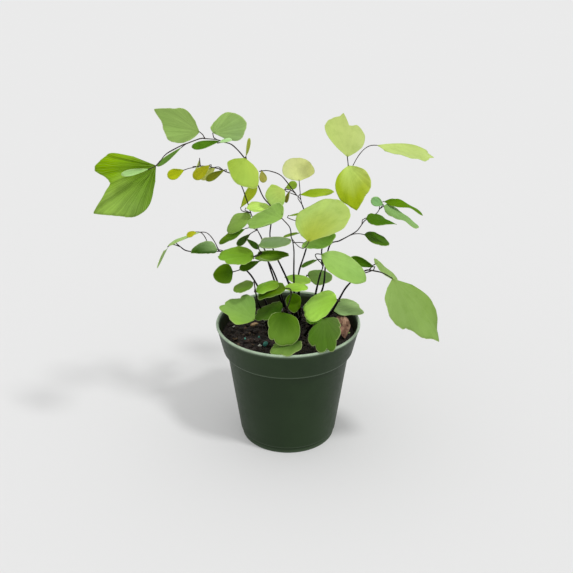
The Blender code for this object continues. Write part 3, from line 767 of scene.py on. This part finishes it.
def wires(place, tree, radius):
    """Paths of (point, radius) along a skeleton, the main stem first and each fork after it."""
    def size(key):
        """A ring's radius. One where tubes meet has none of its own and takes that of its neighbours."""
        if radius[key] is not None:
            return radius[key]
        near = [radius[k] for k in tree[key] if radius[k] is not None]
        return float(np.mean(near)) if near else 0.3 * MM

    foot = min(tree, key=lambda k: place[k][2])
    paths, waiting, seen = [], [(None, foot)], {foot}
    while waiting:
        before, key = waiting.pop(0)
        path = [key] if before is None else [before, key]
        while True:
            onward = sorted(k for k in tree[key] if k not in seen)
            seen.update(onward)
            if not onward:
                break
            heading = place[path[-1]] - place[path[-2]] if len(path) > 1 else np.array([0, 0, 1.0])

            def rank(k):
                """Stout and straight on comes first."""
                step = place[k] - place[key]
                straight = step @ heading / (norm(step) * norm(heading) + 1e-12)
                return size(k) / MM + 0.5 * straight

            following = max(onward, key=rank)
            waiting += [(key, k) for k in onward if k != following]
            path.append(following)
            key = following
        paths.append([(place[k], size(k)) for k in path])
    return paths


def smooth_path(path, step):
    """Points and radii about `step` apart on a Catmull-Rom curve."""
    points = np.array([list(p) + [r] for p, r in path])
    ends = np.vstack([2 * points[0] - points[1], points, 2 * points[-1] - points[-2]])
    result = [points[0]]
    for before, start, end, after in zip(ends, ends[1:], ends[2:], ends[3:]):
        count = max(1, round(float(norm((end - start)[:3])) / step))
        for index in range(1, count + 1):
            t = index / count
            result.append(0.5 * (2 * start + (end - before) * t
                                 + (2 * before - 5 * start + 4 * end - after) * t ** 2
                                 + (3 * start - before - 3 * end + after) * t ** 3))
    return np.array(result)


WIRE_SIDES = 10
WIRE_STEP = 1.6 * MM         # spacing of the points along a wire
ROOT = 1.5 * MM              # how far a main stem goes on down into the soil
TIP = 0.75 * MM              # how far a wire's end goes on into its leaflet
STOUT = 75 * MM              # height above the foot up to which a stem is stouter


def sweep(line, points, faces):
    """Add a round tube along a line of (x, y, z, radius) rows."""
    axis = np.gradient(line[:, :3], axis=0)
    axis /= norm(axis, axis=1)[:, None] + 1e-12
    side = np.cross(axis[0], [0.3, 1.0, 0.2])
    base = len(points)
    for row, forward in zip(line, axis):
        side = side - forward * (side @ forward)
        side /= norm(side)
        other = np.cross(forward, side)
        for k in range(WIRE_SIDES):
            turn = tau * k / WIRE_SIDES
            points.append(row[:3] + row[3] * (side * cos(turn) + other * sin(turn)))
    count = len(line)
    for i in range(count - 1):
        a, b = base + i * WIRE_SIDES, base + (i + 1) * WIRE_SIDES
        faces += [(a + k, a + m, b + m, b + k) for k, m in ring(WIRE_SIDES)]
    faces.append(tuple(base + k for k in reversed(range(WIRE_SIDES))))
    faces.append(tuple(base + (count - 1) * WIRE_SIDES + k for k in range(WIRE_SIDES)))


# The young leaflets of each frond, from left to right: colour, how many degrees they open to each side
# of their middle, and what set_anew does to them
YOUNG = {
    "arch_left": [((165, 205, 130), 12), ((95, 135, 55), 9), ((85, 135, 25), 15, {"size": 1.1}),
                  ((165, 205, 140), 24), ((150, 160, 60), 13)],
    "sprig_left": [((170, 180, 15), 34), ((190, 195, 125), 26, {"roll": 80, "size": 1.2}),
                   ((165, 165, 25), 30), ((185, 190, 100), 30), ((110, 115, 20), 20), ((35, 65, 15), 22),
                   ((150, 165, 35), 20), ((45, 80, 15), 20)],
    "back": [((165, 160, 75), 36), ((120, 112, 35), 26), ((120, 150, 40), 36),
             ((110, 140, 40), 14, {"size": 1.2}), ((120, 155, 15), 16, {"size": 1.2})],
    "middle": [((45, 80, 0), 22)],
    "right_high": [((84, 128, 40), 20, {"size": 1.1})],
    "right_mid": [((135, 185, 120), 42)],
    "right_low": [((60, 105, 0), 20)],
    "left_low": [((160, 190, 120), 4, {"size": 1.25}), ((190, 190, 30), 34, {"roll": 20})],
    "front_right": [((112, 170, 40), 34)],
}


def wire_line(path, main, lowest, phase):
    """A wire's (x, y, z, radius) rows, with its ends let in, stouter low down and faintly knotted."""
    line = smooth_path(path, WIRE_STEP)
    if main:
        line = np.vstack([line[:1] + [0, 0, -ROOT, 0.15 * MM], line])
    else:
        away = norm(line[:, :3] - line[0, :3], axis=1)
        line[:, 3] *= 1 + 0.45 * np.exp(-away / (0.7 * MM))
    forward = line[-1, :3] - line[-2, :3]
    forward /= norm(forward) + 1e-12
    line = np.vstack([line, [*(line[-1, :3] + forward * TIP), line[-1, 3]]])
    stout = 1 + 0.75 * np.clip(1 - (line[:, 2] - lowest) / STOUT, 0, 1)
    line[:, 3] *= stout * (1 + 0.06 * np.sin(np.arange(len(line)) * 0.9 + phase))
    return line


def build_stems():
    for number, node in enumerate(sorted(n for n in frame["nodes"] if n.startswith("stem_"))):
        key = node[len("stem_"):]
        place, tree, radius, fans = skeleton(node)
        heights = [p[2] for p in place.values()]
        lowest, highest = min(heights), max(heights)
        points, faces, along = [], [], []
        for index, path in enumerate(wires(place, tree, radius)):
            line = wire_line(path, index == 0, lowest, number)
            sweep(line, points, faces)
            ages = np.clip((line[:, 2] - lowest) / (highest - lowest), 0, 1) * 0.7
            along += list(np.repeat(np.clip(ages + 0.25, 0, 1) if index else ages, WIRE_SIDES))
        mesh = mesh_from(f"wire_{key}", points, faces)
        give(mesh, "along", "FLOAT", along)
        piece(f"wire_{key}", mesh, STEM, SLOTS[node], node)
        fans.sort(key=lambda f: float(f.apex[0] + f.y[0] * f.long / 2))
        rows = YOUNG.get(key, ())
        assert len(fans) == len(rows), f"stem_{key} holds {len(fans)} young leaflets"
        for index, (fan, (shade, half, *anew)) in enumerate(zip(fans, rows)):
            fan = set_anew(oval(fan, half), **(anew[0] if anew else {}))
            build_leaflet(f"young_{key}_{index + 1}", fan, [srgb(*shade)] * 3, "leaf_lime",
                          seed=40.0 + 3.1 * number + index, curl=0.06, wave=1.6)


# ------ pot

LATHE_SIDES = 144
WALL = 1.3                   # in millimetres, like all the pot's measures
HOLES, HOLE_RADIUS, HOLES_AT = 8, 2.5, 21   # drain holes, and how far from the middle they are
DRILLED = 12                 # a drill reaches this far up


def lathe(name, profile):
    """A closed shell turned about Z from (radius, height, wear and painted highlight, soiled) rows. The ends
    meet the axis.
    """
    points, faces, worn_and_lit, soiled = [], [], [], []
    for radius, height, wear_and_light, dirt in profile:
        count = 1 if radius == 0 else LATHE_SIDES
        points += [(*on_circle(radius * MM, tau * k / LATHE_SIDES), height * MM) for k in range(count)]
        worn_and_lit += [wear_and_light] * count
        soiled += [dirt] * count
    start = 0
    for (r0, *_), (r1, *_) in zip(profile, profile[1:]):
        n0, n1 = (1 if r == 0 else LATHE_SIDES for r in (r0, r1))
        nxt = start + n0
        for k, m in ring(LATHE_SIDES):
            corners = (start + k % n0, nxt + k % n1, nxt + m % n1, start + m % n0)
            faces.append(tuple(dict.fromkeys(corners)))
        start = nxt
    mesh = mesh_from(name, points, faces)
    give(mesh, "worn_and_lit", "FLOAT", worn_and_lit)
    give(mesh, "soiled", "FLOAT", soiled)
    return mesh


def rounded(profile, size):
    """A profile with rounded corners, and a row beside each so that flat stretches shade evenly."""
    result = [profile[0]]
    for before, here, after in zip(profile, profile[1:], profile[2:]):
        p = np.array(here[:2], float)
        a, b = (np.array(end[:2], float) - p for end in (before, after))
        a, b = (p + way * min(0.25, size / max(norm(way), 1e-6)) for way in (a, b))
        arc = [a * (1 - t) ** 2 + p * 2 * t * (1 - t) + b * t ** 2 for t in np.linspace(0, 1, 5)]
        result += [(*row, *here[2:]) for row in (p + (a - p) * 1.9, *arc, p + (b - p) * 1.9)]
    result.append(profile[-1])
    return result


def straight(low, low_radius, high, high_radius):
    """The radius of a straight wall at each height, from its radii at two heights."""
    return lambda z: low_radius + (z - low) * (high_radius - low_radius) / (high - low)


def pot_profile():
    """The pot's (radius, height, wear and painted highlight, soiled) rows: up the inside, over the lip, down
    the outside, below.
    """
    lip, top = (value / MM for value in (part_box("pot")[1].x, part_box("pot")[1].z))
    body, collar = straight(4.7, 36.1, 70.4, 45.0), straight(70.4, 47.5, 89.8, 51.9)
    ledge = 71.7
    return [
        (0, 6.2, 0, 1), (34.5, 6.2, 0, 1), (body(8) - WALL, 8, 0, 1), (body(40) - WALL, 40, 0, 1),
        (body(ledge) - WALL, ledge - 0.5, 0, 1), (44.2, ledge, 0, 1),
        (collar(ledge) - WALL, ledge + 0.6, 0, 1), (collar(84) - WALL, 84, 0, 1),
        (collar(87) - WALL, 87, 0, 0.5), (collar(89.8) - WALL, 89.8, 0.25, 0.1),
        (lip - 2.1, top - 1.1, 0.9, 0), (lip - 1.6, top - 0.25, 1, 0), (lip - 1.0, top, 1, 0),
        (lip - 0.35, top - 0.25, 1, 0), (lip, top - 0.9, 0.8, 0), (lip - 0.1, top - 1.7, 0.3, 0),
        (51.9, 89.8, 0.2, 0), (collar(89), 89, 0.05, 0), (collar(88), 88, 0, 0), (collar(80), 80, 0, 0),
        (collar(72.4), 72.4, 0, 0), (collar(71.2), 71.2, 0.12, 0), (47.0, 70.4, 0.1, 0), (45.0, 70.4, 0, 0),
        (body(69), 69, 0, 0), (body(40), 40, 0, 0), (body(6.5), 6.5, 0, 0), (body(5.2), 5.2, 0.05, 0),
        (35.6, 4.7, 0.1, 0), (34.8, 4.2, 0, 0), (34.8, 0, 0.1, 0), (33.2, 0, 0.1, 0), (32.7, 4.5, 0, 0),
        (26, 4.5, 0, 0), (8.5, 4.5, 0, 0), (8, 0, 0, 0), (0, 0, 0, 0),
    ]


def build_pot():
    mesh = lathe("pot_shell", rounded(pot_profile(), 0.28))
    cage = bmesh.new()
    cage.from_mesh(mesh)
    bmesh.ops.recalc_face_normals(cage, faces=cage.faces)
    cage.to_mesh(mesh)
    cage.free()
    drill = bmesh.new()
    bmesh.ops.create_cone(drill, cap_ends=True, segments=24, radius1=HOLE_RADIUS * MM,
                          radius2=HOLE_RADIUS * MM, depth=DRILLED * MM)
    drill_mesh = bpy.data.meshes.new("drill")
    drill.to_mesh(drill_mesh)
    drill.free()
    scratch = shown("pot_shell_scratch", mesh)
    drills = []
    for index in range(HOLES):
        cutter = shown(f"drill_{index}", drill_mesh)
        cutter.location = (*on_circle(HOLES_AT * MM, tau * (index + 0.5) / HOLES), DRILLED / 2 * MM)
        cut = scratch.modifiers.new(cutter.name, "BOOLEAN")
        cut.operation = "DIFFERENCE"
        cut.solver = "EXACT"
        cut.object = cutter
        drills.append(cutter)
    bpy.context.view_layer.update()
    depsgraph = bpy.context.evaluated_depsgraph_get()
    drilled = bpy.data.meshes.new_from_object(scratch.evaluated_get(depsgraph))
    for item in [scratch, *drills]:
        bpy.data.objects.remove(item)
    piece("pot_shell", drilled, POT, SLOTS["pot"], "pot")
    drilled.set_sharp_from_angle(angle=radians(40))


# ------ soil and litter

SECTORS, SOIL_RINGS = 200, 62
SOIL_RADIUS = 48.3 * MM
SAG_FROM = 45 * MM           # the soil sags from here out to the pot's wall
DRAWN_IN = 0.985             # heights are read this much nearer the middle, where there is CAD soil
LITTER_RADIUS = 48.2         # loose grains stay inside this, in millimetres


def soil_height():
    """A function that gives the height of the CAD soil under a point."""
    cage = welded("soil")
    tree = BVHTree.FromBMesh(cage)
    cage.free()

    def height(x, y):
        hit = tree.ray_cast(Vector((x, y, 200 * MM)), Vector((0, 0, -1)))[0]
        return hit.z if hit else 82 * MM

    return height


def lump(points, faces, centre, size, rng, flat, rough, subdivisions):
    """Add one irregular grain."""
    cage = bmesh.new()
    bmesh.ops.create_icosphere(cage, subdivisions=subdivisions, radius=1.0)
    spin = Matrix.Rotation(rng.uniform(0, tau), 3, "Z") @ Matrix.Rotation(rng.uniform(-0.6, 0.6), 3, "X")
    shape = Vector((rng.uniform(0.7, 1.3), rng.uniform(0.6, 1.1), rng.uniform(0.55, 0.95) * flat))
    shift = Vector((rng.uniform(0, 50), rng.uniform(0, 50), rng.uniform(0, 50)))
    base = len(points)
    for vertex in cage.verts:
        bumps = 1 + rough * noise.noise(vertex.co * 1.7 + shift)
        bumps += 0.5 * rough * noise.noise(vertex.co * 4 + shift)
        local = Vector(a * b for a, b in zip(vertex.co * bumps, shape))
        points.append(centre + spin @ local * size)
    faces += [tuple(base + v.index for v in face.verts) for face in cage.faces]
    cage.free()


def build_soil(height):
    """The soil's crumbly top on the CAD surface, and its plain sides and bottom inside the pot."""
    def band(inner, outer):
        """Faces between two rings of points."""
        return [(inner + k, outer + k, outer + m, inner + m) for k, m in ring(SECTORS)]

    turns = [tau * k / SECTORS for k in range(SECTORS)]
    points, faces = [Vector((0, 0, height(0, 0)))], []
    for i in range(1, SOIL_RINGS + 1):
        radius = SOIL_RADIUS * (i / SOIL_RINGS)
        for turn in turns:
            x, y = on_circle(radius, turn)
            at = Vector((x, y, 0)) / MM
            clod = noise.turbulence(at * 0.22, 4, False, noise_basis="BLENDER")
            grit = noise.noise(at * 1.1)
            fade = min(1.0, (SOIL_RADIUS - radius) / (2 * MM) + 0.15)
            z = height(x * DRAWN_IN, y * DRAWN_IN) + (1.5 * (clod - 0.55) + 0.28 * grit) * MM * fade
            sag = 1.2 * MM * max(0, (radius - SAG_FROM) / (4 * MM))
            z -= sag * (0.5 + 0.5 * noise.noise(at * 0.11))
            points.append(Vector((x, y, z)))
    faces += [(0, 1 + k, 1 + m) for k, m in ring(SECTORS)]
    for i in range(SOIL_RINGS - 1):
        faces += band(1 + i * SECTORS, 1 + (i + 1) * SECTORS)
    last = 1 + (SOIL_RINGS - 1) * SECTORS
    for radius, z in ((46.0, 73.0), (43.3, 71.9), (35.0, 8.0), (33.0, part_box("soil")[0].z / MM)):
        faces += band(last, len(points))
        last = len(points)
        points += [Vector((*on_circle(radius * MM, turn), z * MM)) for turn in turns]
    faces.append(tuple(last + k for k in reversed(range(SECTORS))))
    piece("soil_bed", mesh_from("soil_bed", points, faces), SOIL, "soil", "soil")


def build_litter(height):
    """Crumbs, bark, fertiliser prills and perlite that lie on the soil. All measures are in millimetres."""
    rng = random.Random(4)

    def strewn(count, radius, sizes, rise, fine):
        """Grains at random, raised by `rise` of their size. Those up to the size `fine` are simpler."""
        for _ in range(count):
            away, turn = radius * sqrt(rng.random()), rng.uniform(0, tau)
            size = rng.choice(sizes)
            x, y = on_circle(min(away, LITTER_RADIUS - size), turn)
            yield x, y, size, rise * size, 0.5, 2 if size > fine else 1

    def laid(grains, rise, rough):
        """Grains put down one by one as (x, y, size)."""
        return [(x, y, size, rise, rough, 3) for x, y, size in grains]

    def heap(name, materials, flat, *groups):
        points, faces = [], []
        for group in groups:
            for x, y, size, rise, rough, subdivisions in group:
                x, y = x * MM, y * MM
                centre = Vector((x, y, height(x, y) + rise * MM))
                lump(points, faces, centre, size * MM, rng, flat, rough, subdivisions)
        piece(name, mesh_from(name, points, faces), materials, "soil")

    heap("soil_crumbs", CRUMB, 0.8, strewn(520, 47.5, (0.5, 0.6, 0.8, 1.0, 1.3, 1.8), 0.25, 0.9))
    chips = ((-38, -12, 1.7), (-35, -20, 1.3), (-25, -22, 1.5), (24, -2, 2.0), (29, 6, 2.2))
    heap("bark_bits", BARK, 0.4, strewn(46, 46, (0.4, 0.6, 1.0), 0.4, 0), laid(chips, 0.6, 0.55))
    prills = ((-31, -13.5, 0.9), (-21, -12, 0.9), (-16, -23, 1.9), (6, -42, 0.8), (20, -38, 0.7),
              (30, 20, 1.1), (-12, 36, 1.0), (12, 38, 1.1))
    heap("feed_prills", PRILL, 1.1, laid(prills, 1.0, 0.08))
    perlite = ((-20, -24.5, 1.5), (26, -33, 0.8), (-22, 30, 1.2), (18, 30, 1.0), (38, -2, 0.7), (-40, 6, 0.8))
    heap("perlite", PERLITE, 0.8, laid(perlite, 0.7, 0.5))


def build_chip():
    """A splinter of wood with torn ends."""
    noise.seed_set(1)   # without a seed, noise_vector differs from run to run
    centre = sum(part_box("wood_chip"), Vector()) / 2
    cage = bmesh.new()
    bmesh.ops.create_cube(cage, size=1.0)
    bmesh.ops.subdivide_edges(cage, edges=cage.edges, cuts=9, use_grid_fill=True)
    turn = Matrix.Rotation(radians(35), 3, "Z")
    for vertex in cage.verts:
        p = vertex.co.copy()
        torn = 1 + 0.25 * noise.noise(Vector((p.y * 6, p.z * 6, 1.5))) * (1 if abs(p.x) > 0.4 else 0)
        narrow = 1 - 0.45 * abs(p.x * 2) ** 3
        local = Vector((p.x * 5.8 * torn, p.y * 2.8 * narrow, p.z * 1.3 * narrow))
        local += 0.12 * noise.noise_vector(p * 5)
        vertex.co = centre + turn @ local * MM
    mesh = bpy.data.meshes.new("chip")
    cage.to_mesh(mesh)
    cage.free()
    piece("wood_splinter", mesh, CHIP, "wood_chip", "wood_chip")


def build_seedling(height):
    """Three pale blades of a seedling that has come up beside the dead leaf."""
    x, y, long = 40.5, -3.5, 5.0
    foot = np.array((x, y, height(x * MM, y * MM) / MM))
    for index, (turn, climb) in enumerate(((-20, 25), (75, 35), (160, 50))):
        turn, climb = radians(turn), radians(climb)
        forward = np.array((*on_circle(cos(climb), turn), sin(climb)))
        side = np.array((sin(turn), -cos(turn), 0.0))
        rim = [(foot + long * (forward * cos(a) + side * sin(a))) * MM for a in np.linspace(-0.6, 0.6, 7)]
        fan = oval(Fan(foot * MM, rim, [rim[3]], np.cross(side, forward)), 24)
        build_leaflet(f"seedling_{index + 1}", fan, [srgb(150, 185, 95)] * 3, "leaf_pale", seed=90.0 + index,
                      curl=-0.15)


# ------ stage

SKY, SUN = 0.85, 1.35         # strengths of the even light and of the key light
SUN_FROM, SUN_HEIGHT = -40, 58   # where the key light stands: degrees from +X, and above the floor
SUN_WIDTH = 8                 # the key light's width in degrees, which softens its shadows
FLOOR_GREY, FLOOR_GLOW = 196, 0.15   # the floor is a lit table, so that shadows on it stay faint
FLOOR_HALF = 9
EYE, AIM = (-1.2, -544.9, 370.2), (-1.2, 0.0, 119.0)   # where the camera stands and looks, in millimetres
LENS, SENSOR = 52.7, 36.0
WHITE = (1.0, 1.0, 1.0, 1.0)


def build_floor():
    n = Nodes("floor")
    colour = n.mix(n.noise(1.5, 2), (FLOOR_GREY,) * 3, (FLOOR_GREY + 1,) * 3)
    n.finish(colour, 0.9, Specular_IOR_Level=0, Emission_Color=WHITE, Emission_Strength=FLOOR_GLOW)
    corners = [(x * FLOOR_HALF, y * FLOOR_HALF, 0) for x, y in ((-1, -1), (1, -1), (1, 1), (-1, 1))]
    mesh = mesh_from("floor", corners, [(0, 1, 2, 3)])
    mesh.materials.append(n.material)
    shown("floor", mesh)


def build_stage():
    build_floor()
    world = bpy.data.worlds.new("studio")
    bpy.context.scene.world = world
    world.use_nodes = True
    sky = world.node_tree.nodes["Background"]
    sky.inputs["Color"].default_value = WHITE
    sky.inputs["Strength"].default_value = SKY

    sun = bpy.data.lights.new("key", "SUN")
    sun.energy = SUN
    sun.angle = radians(SUN_WIDTH)
    turn, rise = radians(SUN_FROM), radians(SUN_HEIGHT)
    source = Vector((*on_circle(cos(rise), turn), sin(rise)))
    shown("key", sun).rotation_euler = source.to_track_quat("Z", "Y").to_euler()

    camera = bpy.data.cameras.new("camera")
    camera.sensor_width = SENSOR
    camera.lens = LENS
    camera.clip_start = 10 * MM
    eye = shown("camera", camera)
    eye.location = Vector(EYE) * MM
    eye.rotation_euler = (Vector(AIM) * MM - eye.location).to_track_quat("-Z", "Y").to_euler()
    bpy.context.scene.camera = eye
    bpy.context.scene.view_settings.view_transform = "Standard"


ground = soil_height()
build_stage()
build_pot()
build_soil(ground)
build_litter(ground)
build_seedling(ground)
build_chip()
build_leaves()
build_stems()
